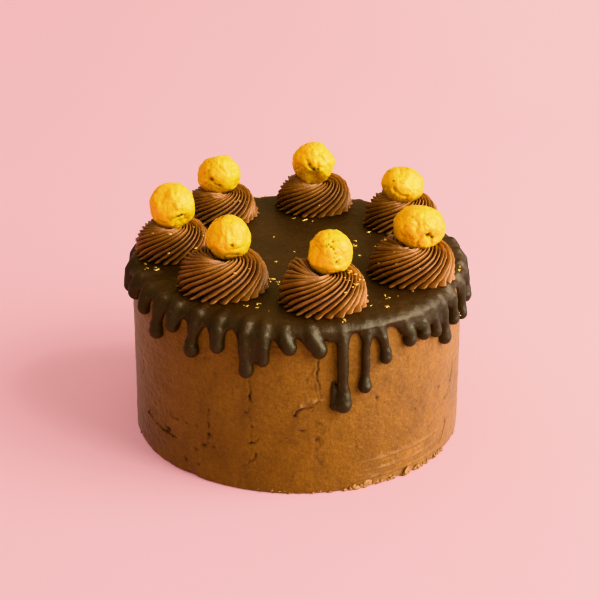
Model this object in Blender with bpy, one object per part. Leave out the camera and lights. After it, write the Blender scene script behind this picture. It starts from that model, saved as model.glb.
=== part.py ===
"""A round chocolate drip cake: a frosted body, a poured ganache top whose edge
runs down in drips, and seven piped rosettes that each carry one gold ball.

Metres, +Z up. The origin is the middle of the body's flat foot, and the
cake's front faces -Y. Run with: blender --background --python part.py
"""
import math
import random

import bmesh
import bpy
from mathutils import Vector, noise

MM = 0.001
GAP = 0.3 * MM                 # between pieces that rest on each other
SEGMENTS = 64                  # round the body and the ganache

# Frosted body
BODY_RADIUS = 82.5 * MM
BODY_HEIGHT = 88.0 * MM
BODY_SHOULDER = 4.0 * MM       # radius of the rounded top edge
BODY_SHOULDER_STEPS = 2
BODY_FOOT_BEVEL = 0.8 * MM

# Ganache: a puddle on the top that turns down over the shoulder
TOP_HEIGHT = 91.0 * MM         # level of the ganache's flat top
FLAT_RADIUS = 74.0 * MM        # where the flat top starts to turn down
LIP_RADIUS = 85.0 * MM         # outer radius of the lip
LIP_HEIGHT = 86.2 * MM         # level where the lip is widest
LIP_EDGE = 84.8 * MM           # lower edge of the lip, between drips
LIP_EDGE_RADIUS = 83.8 * MM
LIP_STEPS = 3

# Drips: each is a run of D-shaped rings, flat against the wall, that starts
# inside the lip and ends in a bulb
DRIP_POINTS = 6                # points round a ring
DRIP_CENTRE = 0.35             # stand-off of a ring's middle, part of its depth
DRIP_ROOT_HEIGHT = 87.4 * MM   # the first ring is buried in the lip
DRIP_ROOT_DEPTH = 1.6 * MM
DRIP_ROOT_FADE = 6.0 * MM      # over this length the root narrows to the neck
DRIP_NECK_DEPTH = 0.90         # depth as part of the width
DRIP_BULB_DEPTH = 0.82
DRIP_BULB_FADE = 0.8           # length of the bulb's upper side, part of its width
DRIP_RING_PITCH = 5.0 * MM
DRIP_TIP_RINGS = 2
DRIP_BACK = BODY_RADIUS + GAP + 0.05 * MM  # flat backs keep clear of the round wall

# Visible drips from the left outline round the front to the right outline:
# angle in degrees from +X, level of the tip, bulb width, neck width, root width
FRONT_DRIPS = [
    (-175, 73.5, 6.2, 5.2, 9.0),
    (-162, 78.2, 6.4, 5.8, 9.5),
    (-152, 76.2, 6.8, 5.8, 9.5),
    (-143.5, 68.2, 7.7, 5.2, 9.5),
    (-135, 76.0, 7.2, 6.0, 10.0),
    (-126.5, 66.8, 7.8, 4.8, 10.0),
    (-116.5, 72.6, 7.2, 5.8, 10.0),
    (-106.5, 62.4, 7.2, 6.4, 9.5),
    (-101, 69.0, 6.6, 6.4, 9.0),
    (-92.5, 75.8, 7.2, 6.0, 10.0),
    (-83, 74.2, 8.0, 6.0, 10.5),
    (-75, 44.4, 8.2, 5.2, 9.5),
    (-67.5, 53.0, 6.2, 4.0, 9.0),
    (-60, 66.0, 6.2, 4.6, 9.0),
    (-50.5, 71.2, 7.0, 5.2, 9.5),
    (-44, 71.6, 7.0, 5.0, 9.0),
    (-37.5, 69.4, 6.2, 4.8, 8.0),
    (-31.5, 62.2, 6.8, 4.6, 8.0),
    (-24.5, 68.2, 6.2, 4.6, 8.0),
    (-14.5, 64.6, 6.2, 4.6, 9.0),
    (-4.5, 67.6, 7.2, 5.0, 9.5),
]
# A short run beside the longest drip that starts below the lip
SIDE_RUN = (-78.0, 45.8, 3.8, 2.8, 2.2)
SIDE_RUN_TOP = 60.0 * MM
# Unseen drips fill the rest of the rim by a seeded rule
BACK_START = 5.0               # degrees
BACK_END = 178.0
BACK_PITCH = (8.0, 11.5)       # degrees from one drip to the next
BACK_TIP = (60.0, 78.0)        # levels of the tips
BACK_BULB = (6.0, 7.6)
BACK_NECK = (4.4, 5.6)
BACK_ROOT = (8.5, 10.0)
BACK_SEED = 11

# Rosettes: piped rings with a twist. x, y of the centre, widest radius, height,
# angle of the first ridge in degrees
ROSETTES = [
    (-36.0, -39.5, 21.8, 17.5, 0.0),
    (12.0, -56.5, 20.8, 17.5, 5.0),
    (56.0, -23.5, 21.2, 17.0, 9.0),
    (53.5, 40.0, 18.6, 15.5, 3.0),
    (8.8, 64.0, 19.4, 15.5, 7.0),
    (-40.0, 51.0, 18.6, 15.0, 11.0),
    (-62.4, 2.6, 18.6, 16.0, 2.0),
]
RIDGES = 24
WAIST = 0.27                   # level of the widest ring, part of the height
SOLE = 0.55                    # the flat part of the foot, as part of the radius
# A rosette is a ring-shaped tube. Rings from the foot over the crest into the
# eye: angle round the tube and twist in degrees, groove depth as part of the
# tube's radius
FOOT_TURN = -42
ROSETTE_RINGS = [
    (FOOT_TURN, 0, 0.17),
    (4, 20, 0.20),
    (36, 51, 0.20),
    (66, 85, 0.18),
    (96, 122, 0.15),
    (130, 162, 0.08),
]
EYE_HEIGHT = 0.60              # level of the eye's bottom, part of the height

# Gold balls: x, y and height of the centre over the ganache, width, depth,
# height, and the dents as (direction, depth, spread in degrees); a dent with a
# depth below zero is a bulge
BALLS = [
    (-33.1, -34.9, 23.5, 21.7, 21.5, 22.2,
     [((0.3, -0.8, -0.5), 0.5, 22), ((-0.9, -0.3, 0.1), 0.4, 35)]),
    (15.5, -53.6, 24.0, 21.6, 21.5, 21.4,
     [((-0.7, -0.5, 0.5), 0.9, 35), ((-0.75, -0.2, -0.65), -1.3, 28)]),
    (59.2, -21.8, 23.5, 25.6, 22.0, 21.6,
     [((0.55, -0.75, -0.25), 1.0, 20), ((0.2, -0.75, -0.6), -1.0, 22)]),
    (54.0, 39.4, 20.5, 22.2, 21.5, 21.0,
     [((-0.8, -0.3, -0.5), 1.6, 30), ((0.7, -0.2, 0.6), 0.5, 30)]),
    (8.7, 64.2, 23.5, 22.4, 21.5, 21.7,
     [((-0.2, -0.95, -0.3), 1.1, 20), ((0.9, 0.0, -0.4), 0.5, 30)]),
    (-41.0, 52.4, 21.5, 22.3, 21.5, 20.6,
     [((-0.8, -0.4, 0.45), 1.0, 30), ((0.0, -0.9, -0.4), 0.5, 25)]),
    (-62.5, 4.9, 23.5, 23.3, 22.5, 23.9,
     [((-0.95, -0.2, -0.3), 1.3, 28), ((0.75, -0.5, -0.4), 0.9, 30)]),
]
BALL_SUBDIVISIONS = 3
SEAT_GAP = 1.5 * MM            # between a ball and the corners of the seat under it
BALL_LUMP = 0.45 * MM          # depth of the slow unevenness
BALL_LUMP_SIZE = 9.0 * MM
BALL_LUMP_STEP = 7.0           # shifts the unevenness from ball to ball

# Colour (linear), roughness and metallic value of each material
FROSTING = ((0.27, 0.10, 0.035), 0.55, 0.0)
GANACHE = ((0.045, 0.028, 0.014), 0.35, 0.0)
PIPING = ((0.115, 0.035, 0.012), 0.5, 0.0)
GOLD = ((0.90, 0.47, 0.03), 0.4, 0.6)


def clear_scene():
    for obj in list(bpy.data.objects):
        bpy.data.objects.remove(obj, do_unlink=True)


def make_material(name, look):
    colour, roughness, metallic = look
    material = bpy.data.materials.new(name)
    material.use_nodes = True
    shader = material.node_tree.nodes["Principled BSDF"]
    shader.inputs["Base Color"].default_value = (*colour, 1.0)
    shader.inputs["Roughness"].default_value = roughness
    shader.inputs["Metallic"].default_value = metallic
    return material


def make_object(name, bm, material=None):
    """Turn a bmesh into a named object with outward faces."""
    bmesh.ops.recalc_face_normals(bm, faces=bm.faces)
    mesh = bpy.data.meshes.new(name)
    bm.to_mesh(mesh)
    bm.free()
    obj = bpy.data.objects.new(name, mesh)
    bpy.context.scene.collection.objects.link(obj)
    if material:
        mesh.materials.append(material)
    return obj


def polar(radius, angle, height):
    return Vector((radius * math.cos(angle), radius * math.sin(angle), height))


def bridge(bm, lower, upper):
    """Join two rings of equally many vertices with quads."""
    for i in range(len(lower)):
        bm.faces.new((lower[i - 1], lower[i], upper[i], upper[i - 1]))


def loft(bm, rings, tip=None):
    """A closed skin over rings, capped flat or, at the last ring, by a point."""
    for lower, upper in zip(rings, rings[1:]):
        bridge(bm, lower, upper)
    bm.faces.new(rings[0])
    if tip is None:
        bm.faces.new(rings[-1])
        return
    point = bm.verts.new(tip)
    last = rings[-1]
    for i in range(len(last)):
        bm.faces.new((last[i - 1], last[i], point))


def turned(profile):
    """A closed solid turned about Z from (radius, height) points."""
    bm = bmesh.new()
    angles = [2 * math.pi * i / SEGMENTS for i in range(SEGMENTS)]
    loft(bm, [[bm.verts.new(polar(radius, angle, height)) for angle in angles]
              for radius, height in profile])
    return bm


def join(obj, parts):
    """Join an object with all the objects of a collection, and remove those."""
    modifier = obj.modifiers.new("join", "BOOLEAN")
    modifier.operation = "UNION"
    modifier.operand_type = "COLLECTION"
    modifier.collection = parts
    depsgraph = bpy.context.evaluated_depsgraph_get()
    mesh = bpy.data.meshes.new_from_object(obj.evaluated_get(depsgraph))
    mesh.name = obj.name
    obj.modifiers.clear()
    obj.data = mesh
    for part in list(parts.objects):
        bpy.data.objects.remove(part, do_unlink=True)
    bpy.data.collections.remove(parts)


def shade(obj, sharp_degrees=40.0):
    obj.data.shade_smooth()
    obj.data.set_sharp_from_angle(angle=math.radians(sharp_degrees))


def shoulder_points(grow):
    """The body's rounded top edge, wall first, grown by a clearance."""
    shoulder = BODY_SHOULDER + grow
    points = []
    for i in range(BODY_SHOULDER_STEPS + 1):
        turn = math.pi / 2 * i / BODY_SHOULDER_STEPS
        points.append((BODY_RADIUS - BODY_SHOULDER + shoulder * math.cos(turn),
                       BODY_HEIGHT - BODY_SHOULDER + shoulder * math.sin(turn)))
    return points


def lip_points():
    """The outside of the ganache from its lower edge to the flat top."""
    points = [(LIP_EDGE_RADIUS, LIP_EDGE)]
    for i in range(LIP_STEPS + 1):
        turn = math.pi / 2 * i / LIP_STEPS
        points.append((FLAT_RADIUS + (LIP_RADIUS - FLAT_RADIUS) * math.cos(turn),
                       LIP_HEIGHT + (TOP_HEIGHT - LIP_HEIGHT) * math.sin(turn)))
    return points


def ganache_drop(radius):
    """How far the ganache has turned down at a distance from the axis."""
    share = min(1.0, max(0.0, radius - FLAT_RADIUS) / (LIP_RADIUS - FLAT_RADIUS))
    return (TOP_HEIGHT - LIP_HEIGHT) * (1.0 - math.sqrt(1.0 - share ** 2))


def build_body(material):
    foot = [(BODY_RADIUS - BODY_FOOT_BEVEL, 0.0), (BODY_RADIUS, BODY_FOOT_BEVEL)]
    body = make_object("cake_body", turned(foot + shoulder_points(0.0)), material)
    shade(body)


def back_drips():
    """Drips for the unseen side, spaced and sized by a seeded draw."""
    draw = random.Random(BACK_SEED)
    drips = []
    angle = BACK_START
    while angle < BACK_END:
        drips.append((angle, draw.uniform(*BACK_TIP), draw.uniform(*BACK_BULB),
                      draw.uniform(*BACK_NECK), draw.uniform(*BACK_ROOT)))
        angle += draw.uniform(*BACK_PITCH)
    return drips


def drip_rings(top, tip, bulb, neck, root):
    """Rings of a drip from root to tip: height, width, depth."""
    bulb_height = tip + bulb / 2
    length = top - bulb_height
    steps = max(3, round(length / DRIP_RING_PITCH))
    rings = []
    for i in range(steps + 1):
        below_root = length * i / steps
        above_bulb = length - below_root
        root_share = math.exp(-(below_root / DRIP_ROOT_FADE) ** 2)
        bulb_share = math.exp(-(above_bulb / (DRIP_BULB_FADE * bulb)) ** 2)
        width = neck + (root - neck) * root_share + (bulb - neck) * bulb_share
        depth = DRIP_NECK_DEPTH * neck
        depth += (DRIP_BULB_DEPTH * bulb - depth) * bulb_share
        depth += (DRIP_ROOT_DEPTH - depth) * root_share
        rings.append((top - below_root, width, depth))
    for i in range(1, DRIP_TIP_RINGS + 1):
        turn = math.pi / 2 * i / (DRIP_TIP_RINGS + 1)
        rings.append((bulb_height - bulb / 2 * math.sin(turn), bulb * math.cos(turn),
                      DRIP_BULB_DEPTH * bulb * math.cos(turn)))
    return rings


def build_drip(name, drip, top=DRIP_ROOT_HEIGHT):
    angle = math.radians(drip[0])
    tip, bulb, neck, root = (value * MM for value in drip[1:])
    outward = polar(1.0, angle, 0.0)
    sideways = polar(1.0, angle + math.pi / 2, 0.0)
    back_turn = math.acos(-DRIP_CENTRE / (1.0 - DRIP_CENTRE))
    bm = bmesh.new()
    rings = []
    for height, width, depth in drip_rings(top, tip, bulb, neck, root):
        middle = DRIP_BACK + DRIP_CENTRE * depth
        ring = []
        for i in range(DRIP_POINTS):
            turn = back_turn * (2 * i / (DRIP_POINTS - 1) - 1.0)
            point = outward * (middle + (1.0 - DRIP_CENTRE) * depth * math.cos(turn))
            point += sideways * (width / 2 * math.sin(turn))
            point.z = height
            ring.append(bm.verts.new(point))
        rings.append(ring)
    end = polar(DRIP_BACK + DRIP_CENTRE * DRIP_BULB_DEPTH * bulb / 2, angle, tip)
    loft(bm, rings, tip=end)
    return make_object(name, bm)


def build_ganache(material):
    """A hollow cap over the body, joined with its drips into one piece."""
    inside = list(reversed(shoulder_points(GAP)))
    inside = [(radius, height) for radius, height in inside if height > LIP_EDGE]
    inside.append((BODY_RADIUS + GAP, LIP_EDGE))
    ganache = make_object("ganache", turned(inside + lip_points()), material)
    drips = bpy.data.collections.new("drips")
    bpy.context.scene.collection.children.link(drips)
    runs = [build_drip(f"drip_{index:02d}", drip)
            for index, drip in enumerate(FRONT_DRIPS + back_drips())]
    runs.append(build_drip("side_run", SIDE_RUN, SIDE_RUN_TOP))
    for run in runs:
        bpy.context.scene.collection.objects.unlink(run)
        drips.objects.link(run)
    join(ganache, drips)
    shade(ganache)


def dent_depth(direction, dents):
    """How far the ball's skin is pushed in along one direction."""
    depth = 0.0
    for axis, dent, spread in dents:
        apart = direction.angle(Vector(axis))
        depth += dent * MM * math.exp(-(apart / math.radians(spread)) ** 2)
    return depth


def ball_skin(number, ball, direction):
    """The point of a ball's uneven skin along a direction, from its centre."""
    half = Vector(ball[3:6]) * (MM / 2)
    point = direction * half
    shift = Vector((BALL_LUMP_STEP * number, 0.0, 0.0))
    lump = BALL_LUMP * noise.noise(point / BALL_LUMP_SIZE + shift)
    return point + direction * (lump - dent_depth(direction, ball[6]))


def ball_centre(ball):
    return Vector((ball[0] * MM, ball[1] * MM, TOP_HEIGHT + ball[2] * MM))


def build_ball(number, ball, material):
    bm = bmesh.new()
    bmesh.ops.create_icosphere(bm, subdivisions=BALL_SUBDIVISIONS, radius=1.0)
    for vertex in bm.verts:
        vertex.co = ball_centre(ball) + ball_skin(number, ball, vertex.co.normalized())
    shade(make_object(f"gold_ball_{number}", bm, material), 60.0)


def clear_of_ball(point, number, ball):
    """Press a point of the rosette out of the ball that sits on it."""
    apart = point - ball_centre(ball)
    skin = ball_skin(number, ball, apart.normalized()).length + SEAT_GAP
    if apart.length < skin:
        apart *= skin / apart.length
    return ball_centre(ball) + apart


def build_rosette(number, place, ball, material):
    """A ring of ridges that twist as they rise and sink into a small eye."""
    x, y, radius, height = (value * MM for value in place[:4])
    centre = Vector((x, y, TOP_HEIGHT + GAP))
    tube = radius / 2
    waist = WAIST * height
    bm = bmesh.new()
    rings = []
    for degrees, twist, depth in ROSETTE_RINGS:
        turn = math.radians(degrees)
        ring = []
        for i in range(2 * RIDGES):
            angle = math.radians(place[4] + twist) + math.pi * i / RIDGES
            size = 1.0 - depth * (i % 2)
            level = waist + (height - waist) * size * math.sin(turn)
            if degrees == FOOT_TURN:
                level = 0.0
            point = centre + polar(radius - tube + tube * size * math.cos(turn), angle, level)
            if degrees == FOOT_TURN:
                point.z -= ganache_drop(point.to_2d().length)
            ring.append(bm.verts.new(clear_of_ball(point, number, ball)))
        rings.append(ring)
    if math.hypot(x, y) + radius > FLAT_RADIUS:
        angles = [math.radians(place[4]) + math.pi * i / RIDGES for i in range(2 * RIDGES)]
        rings.insert(0, [bm.verts.new(centre + polar(SOLE * radius, a, 0.0)) for a in angles])
    eye = centre + Vector((0.0, 0.0, EYE_HEIGHT * height))
    loft(bm, rings, tip=clear_of_ball(eye, number, ball))
    shade(make_object(f"rosette_{number}", bm, material))


def build_toppings(piping, gold):
    for number, (place, ball) in enumerate(zip(ROSETTES, BALLS), start=1):
        build_rosette(number, place, ball, piping)
        build_ball(number, ball, gold)


def main():
    clear_scene()
    build_body(make_material("chocolate_frosting", FROSTING))
    build_ganache(make_material("dark_ganache", GANACHE))
    build_toppings(make_material("piped_chocolate", PIPING), make_material("gold_coating", GOLD))


main()
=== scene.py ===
"""Looks of the chocolate drip cake: frosting, poured ganache, piped rosettes,
gold balls, gold flecks and crumbs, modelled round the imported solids.

Blender's own units are metres. The shape functions work in millimetres, with
+Z up and the cake's front facing -Y, and make_piece turns them into metres.
"""
import itertools
import math
import random

import bmesh
import bpy
import numpy as np
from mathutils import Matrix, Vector, noise
from mathutils.bvhtree import BVHTree


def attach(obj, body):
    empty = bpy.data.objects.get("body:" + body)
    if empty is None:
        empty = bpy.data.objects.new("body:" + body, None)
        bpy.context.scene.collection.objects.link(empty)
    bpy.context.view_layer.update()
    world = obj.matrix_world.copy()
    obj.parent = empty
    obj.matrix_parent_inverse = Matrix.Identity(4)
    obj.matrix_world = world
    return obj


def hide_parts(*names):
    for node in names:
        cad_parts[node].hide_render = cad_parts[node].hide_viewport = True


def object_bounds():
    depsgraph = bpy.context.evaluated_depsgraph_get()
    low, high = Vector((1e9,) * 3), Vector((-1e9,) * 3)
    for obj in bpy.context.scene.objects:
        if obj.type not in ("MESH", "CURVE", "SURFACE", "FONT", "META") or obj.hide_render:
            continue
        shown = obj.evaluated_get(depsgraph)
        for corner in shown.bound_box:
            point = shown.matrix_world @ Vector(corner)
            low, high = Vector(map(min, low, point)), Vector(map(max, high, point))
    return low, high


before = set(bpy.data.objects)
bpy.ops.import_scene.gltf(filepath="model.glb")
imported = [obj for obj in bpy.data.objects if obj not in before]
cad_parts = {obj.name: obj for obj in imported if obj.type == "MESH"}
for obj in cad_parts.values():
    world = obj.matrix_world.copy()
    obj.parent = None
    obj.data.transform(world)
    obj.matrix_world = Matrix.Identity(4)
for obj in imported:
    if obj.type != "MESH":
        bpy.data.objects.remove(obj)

MM = 0.001
NO_QUADS = np.zeros((0, 4), int)
NO_TRIANGLES = np.zeros((0, 3), int)
SOLID_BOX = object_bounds()

# Frosted body, as in the solid
BODY_RADIUS = 82.5
BODY_HEIGHT = 88.0
BODY_SHOULDER = 4.0
FRONT_ANGLES = (-180.0, 0.0)  # degrees from +X; this half gets the closer columns
FRONT_COLUMNS = 500
BACK_COLUMNS = 230
WALL_ROWS = 126
FOOT_BEVEL = 0.8

# Ganache, as in the solid
TOP_HEIGHT = 91.0
FLAT_RADIUS = 74.0
LIP_RADIUS = 85.0
LIP_HEIGHT = 86.2
LIP_EDGE = 84.8
GANACHE_STEP = 0.6  # pitch of the grid that the ganache is worked out on
GANACHE_LOW = 43.0  # the grid's lowest level
GANACHE_KEEP = 0.48  # part of the faces kept where the surface is flat
SKIN_IN_BODY = 0.25  # how far the ganache reaches into the frosting
FILLET = 1.6  # how softly a drip grows out of the rim

# Drips from the left outline round the front to the right outline: angle,
# level of the tip, bulb width, neck width, root width, and how many degrees
# the root lies to the left of the tip
FRONT_DRIPS = [
    (-175, 73.5, 6.2, 5.2, 9, 0),
    (-162, 78.2, 6.4, 5.8, 9.5, 0),
    (-152, 76.2, 6.8, 5.8, 9.5, 0.5),
    (-143.5, 68.2, 7.7, 5.2, 9.5, -0.5),
    (-135, 76, 7.2, 6, 10, 0),
    (-126.5, 66.8, 7.8, 4.8, 10, -1),
    (-116.5, 72.6, 7.2, 5.8, 10, 0.5),
    (-106.5, 62.4, 7.2, 6.4, 9.5, 0.5),
    (-101, 69, 6.6, 6.4, 9, 0),
    (-92.5, 75.8, 7.2, 6, 10, 2),
    (-83, 74.2, 8, 6, 10.5, 3),
    (-75, 44.4, 8.2, 5.2, 9.5, 0.5),
    (-67.5, 53, 6.2, 4, 9, -1),
    (-60, 66, 6.2, 4.6, 9, 2.5),
    (-50.5, 71.2, 7, 5.2, 9.5, 2.5),
    (-44, 71.6, 7, 5, 9, 2),
    (-37.5, 69.4, 6.2, 4.8, 8, 1.5),
    (-31.5, 62.2, 6.8, 4.6, 8, 2),
    (-24.5, 68.2, 6.2, 4.6, 8, 2),
    (-14.5, 64.6, 6.2, 4.6, 9, 1.5),
    (-4.5, 67.6, 7.2, 5, 9.5, 1),
]
SIDE_RUN = (-78, 45.8, 3.8, 2.8, 60)
WEB = (-103.8, 73.5, 6.6)  # two fingers joined: angle, lowest level, thickness
# The unseen drips follow the solid's seeded rule
BACK_SEED = 11
BACK_START = 5.0
BACK_END = 178.0
BACK_PITCH = (8, 11.5)
BACK_TIP = (60, 78)
BACK_BULB = (6, 7.6)
BACK_NECK = (4.4, 5.6)
BACK_ROOT = (8.5, 10)
# Where the sheet between two drips hangs below the lip: angle and level
LOW_SHEETS = [(-104, 70), (-72, 84), (-55, 84), (-47.5, 80), (-41, 76),
              (-34.5, 73), (-28, 79), (-79, 81)]
LOW_SHEET_SPREAD = 2.4  # degrees

# Rosettes, as in the solid: x, y, widest radius, height, first ridge's angle
ROSETTES = [
    (-36, -39.5, 21.8, 17.5, 0),
    (12, -56.5, 20.8, 17.5, 5),
    (56, -23.5, 21.2, 17, 9),
    (53.5, 40, 18.6, 15.5, 3),
    (8.8, 64, 19.4, 15.5, 7),
    (-40, 51, 18.6, 15, 11),
    (-62.4, 2.6, 18.6, 16, 2),
]
RIDGES = 24
RIDGE_SPREADS = [(-0.13, 0.13), (0.94, 1.04), (-0.08, 0.08)]  # of each ridge's place, size and tooth
WAIST = 0.27
FOOT_TURN = -42
ROSETTE_RINGS = [  # turn round the tube, twist, groove depth
    (FOOT_TURN, 0, 0.17),
    (4, 20, 0.2),
    (36, 51, 0.2),
    (66, 85, 0.18),
    (96, 122, 0.18),
    (130, 162, 0.15),
    (152, 190, 0.12),
]
EYE_HEIGHT = 0.6
RIDGE_COLUMNS = 14  # columns across one ridge
ROSETTE_ROWS = 64
DEEPER = 1.8  # the grooves are this much deeper than the solid's
TOOTH_DEPTH = 0.78  # and deeper still where the ridges end below
TOOTH_FLARE = 0.05
TAB_OUT = 2.0  # each ridge ends in a small round tab at this level
TAB_LEVEL = 1.1
TAB_WIDTH = 0.5
# A smooth smear where the nozzle left a rosette: direction, spread, turn round
# the tube, reach up and down it, lift
SMEARS = {2: (168, 36, 85, 42, 4.2)}
ROSETTE_SINK = 0.2  # the piping stands this deep in the ganache, and its base a little deeper
BASE_SINK = 0.3
# How torn the cream is round the eye
TORN_ELSEWHERE = 0.2
TORN_TOPS = {3: 1, 4: 0.7, 5: 0.5, 6: 1, 7: 1.2}

# Gold balls, as in the solid: x, y, height over the ganache, width, depth,
# height, dents
BALLS = [
    (-33.1, -34.9, 23.5, 21.7, 21.5, 22.2,
     [((0.3, -0.8, -0.5), 0.5, 22), ((-0.9, -0.3, 0.1), 0.4, 35)]),
    (15.5, -53.6, 24, 21.6, 21.5, 21.4,
     [((-0.7, -0.5, 0.5), 0.9, 35), ((-0.75, -0.2, -0.65), -1.3, 28)]),
    (59.2, -21.8, 23.5, 25.6, 22, 21.6,
     [((0.55, -0.75, -0.25), 1, 20), ((0.2, -0.75, -0.6), -1, 22)]),
    (54, 39.4, 20.5, 22.2, 21.5, 21,
     [((-0.8, -0.3, -0.5), 1.6, 30), ((0.7, -0.2, 0.6), 0.5, 30)]),
    (8.7, 64.2, 23.5, 22.4, 21.5, 21.7,
     [((-0.2, -0.95, -0.3), 1.1, 20), ((0.9, 0, -0.4), 0.5, 30)]),
    (-41, 52.4, 21.5, 22.3, 21.5, 20.6,
     [((-0.8, -0.4, 0.45), 1, 30), ((0, -0.9, -0.4), 0.5, 25)]),
    (-62.5, 4.9, 23.5, 23.3, 22.5, 23.9,
     [((-0.95, -0.2, -0.3), 1.3, 28), ((0.75, -0.5, -0.4), 0.9, 30)]),
]
BALL_RADIUS = 10.9  # about, for the places of pits and clefts
BALL_SUBDIVISIONS = 6
BALL_LUMP = 0.45
BALL_PLUMP = 0.7  # dents and bulges even out at the solid's size
BALL_LUMP_SIZE = 9.0
BALL_LUMP_STEP = 7.0
FACETS = 13
FACET_HEIGHT = (0.885, 0.965)  # distance of a flat patch from the centre, in radii
FACET_SOFTNESS = 0.012
FACET_DEPTH = 11.0  # millimetres for a whole radius
FAR_PITS = 6
# Small pits on each ball, seen from the front: across and up as parts of the
# ball's radius, depth and radius in millimetres
PITS = {
    1: [(0.2, -0.38, 0.7, 0.9), (0.4, -0.76, 0.6, 0.6)],
    2: [(0.09, 0.48, 0.5, 0.6), (-0.09, 0.33, 0.5, 0.5), (0.02, 0.24, 0.5, 0.7), (-0.3, 0.24, 0.4, 0.5),
        (-0.52, 0.35, 0.4, 0.5), (0.13, 0.13, 0.4, 0.6), (0.09, -0.13, 0.4, 0.5), (0.3, -0.48, 0.5, 0.8),
        (-0.66, 0.33, 0.4, 0.5), (-0.42, 0.28, 0.5, 0.6), (-0.19, 0.24, 0.5, 0.6), (0.25, -0.09, 0.4, 0.5),
        (0.18, -0.3, 0.4, 0.5), (0.32, -0.25, 0.4, 0.5), (0.44, -0.36, 0.4, 0.5), (0.34, 0.51, 0.3, 0.4)],
    3: [(0.42, -0.42, 0.9, 1.3), (0.62, -0.5, 0.7, 1), (-0.67, -0.04, 0.5, 0.6), (-0.37, 0.39, 0.3, 0.5)],
    4: [(-0.45, 0.2, 0.3, 0.5), (0.3, -0.3, 0.3, 0.4)],
    5: [(-0.02, -0.4, 0.7, 0.8), (-0.22, -0.15, 0.4, 0.6), (0.2, -0.36, 0.3, 0.6)],
    6: [(-0.35, 0.46, 0.5, 0.6), (-0.48, 0.15, 0.4, 0.6), (-0.3, -0.28, 0.5, 0.9), (0.07, -0.57, 0.4, 0.6)],
    7: [(0.37, -0.52, 0.5, 0.9), (0.5, -0.46, 0.4, 0.7)],
}
PIT_SPREAD = 1.15
CLEFTS = {  # runs of such places, with depth and width
    1: [([(-0.35, 0.25), (-0.2, -0.1), (-0.28, -0.45)], 0.35, 0.9), ([(0.1, -0.2), (0.45, -0.12)], 0.3, 0.7)],
    2: [([(-0.25, -0.2), (0.05, -0.3), (0.2, -0.12)], 0.35, 0.8), ([(0.2, -0.62), (0.45, -0.6)], 0.4, 0.7)],
    3: [([(0.02, -0.52), (0.22, -0.42), (0.45, -0.5), (0.52, -0.72)], 0.7, 0.7),
        ([(-0.74, -0.02), (-0.56, -0.07)], 0.8, 0.6), ([(-0.3, 0.35), (-0.1, 0.1), (-0.2, -0.25)], 0.4, 1)],
    4: [([(-0.45, -0.2), (-0.2, -0.45), (0.15, -0.55)], 0.5, 0.9)],
    5: [([(-0.33, 0.02), (-0.26, -0.22), (-0.05, -0.45)], 0.9, 0.9), ([(0.2, 0.35), (0.45, 0.1)], 0.35, 0.9)],
    6: [([(-0.36, -0.3), (-0.15, -0.48), (0.06, -0.6)], 0.5, 0.8), ([(0.1, 0.3), (0.35, 0)], 0.3, 0.9)],
    7: [([(-0.05, -0.66), (0.3, -0.55), (0.62, -0.48)], 0.6, 0.7), ([(-0.3, 0.5), (-0.42, 0.1)], 0.45, 1),
        ([(0.25, 0.3), (0.1, 0.05), (0.2, -0.2)], 0.3, 0.8)],
}
KNOBS = {3: (0.23, -0.7, 3.4, 0.8)}  # a round lump: across, up, radius, lift
CAMERA_ELEVATION = 25.0  # degrees
PAINTED_LIGHT_FROM = (0.85, -0.22, 0.48)  # painted light: the gold is paler on this side of the balls, the side towards the key light

# The frosted wall's unevenness: height, size of its bumps, seed
WALL_RIPPLES = [(0.3, 42, 1), (0.18, 15, 2), (0.15, (11, 11, 2.6), 3),
                (0.05, (3, 3, 16), 9), (0.11, (2.2, 2.2, 1.3), 4), (0.06, 0.9, 16)]
# and how its marks wander sideways and up
ANGLE_WAVER = [(0.7, 2.4, 12), (0.5, 1.2, 13)]
LEVEL_WAVER = [(0.7, 2.4, 14), (0.5, 1.2, 15)]
# Creases as runs of (angle, level), with width and depth
CREASES = [
    ([(-105.7, 72), (-105.7, 51), (-106.5, 42), (-105.5, 35), (-105.8, 26)], 0.45, 0.28),
    ([(-105.8, 26.3), (-104.3, 27), (-102.4, 30.2)], 0.45, 0.6),
    ([(-103.9, 21.5), (-104.6, 18), (-106.7, 14.9), (-109.3, 13.6)], 0.45, 0.4),
    ([(-153.8, 21.2), (-150.1, 19.3), (-146.8, 18.4), (-143.6, 17.7)], 0.5, 1.3),
    ([(-143.6, 17.7), (-140.5, 17.5), (-135.9, 17.3)], 0.45, 0.9),
    ([(-139.1, 29.3), (-135.6, 28.2), (-130.8, 28.3), (-125.9, 29.2)], 0.45, 0.5),
    ([(-121.3, 41), (-121.6, 35), (-121.2, 27), (-122.5, 20)], 0.45, 0.35),
    ([(-82.7, 76), (-83, 70.6), (-83.6, 65), (-83.2, 59), (-82.2, 52)], 0.5, 0.6),
    ([(-91, 43.5), (-88.6, 46.2), (-85, 47.6)], 0.6, 0.7),
    ([(-20.6, 45), (-23.5, 33.1), (-27.6, 29.4)], 0.5, 0.75),
    ([(-88.9, 46.4), (-86.5, 49), (-82.5, 50)], 0.5, 0.35),
    ([(-29.1, 22), (-26.3, 14.9), (-28, 9.5), (-30.6, 6.1)], 0.5, 0.7),
    ([(-100.2, 77.2), (-98, 78.6), (-95.9, 79.2)], 0.4, 0.4),
]
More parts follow.
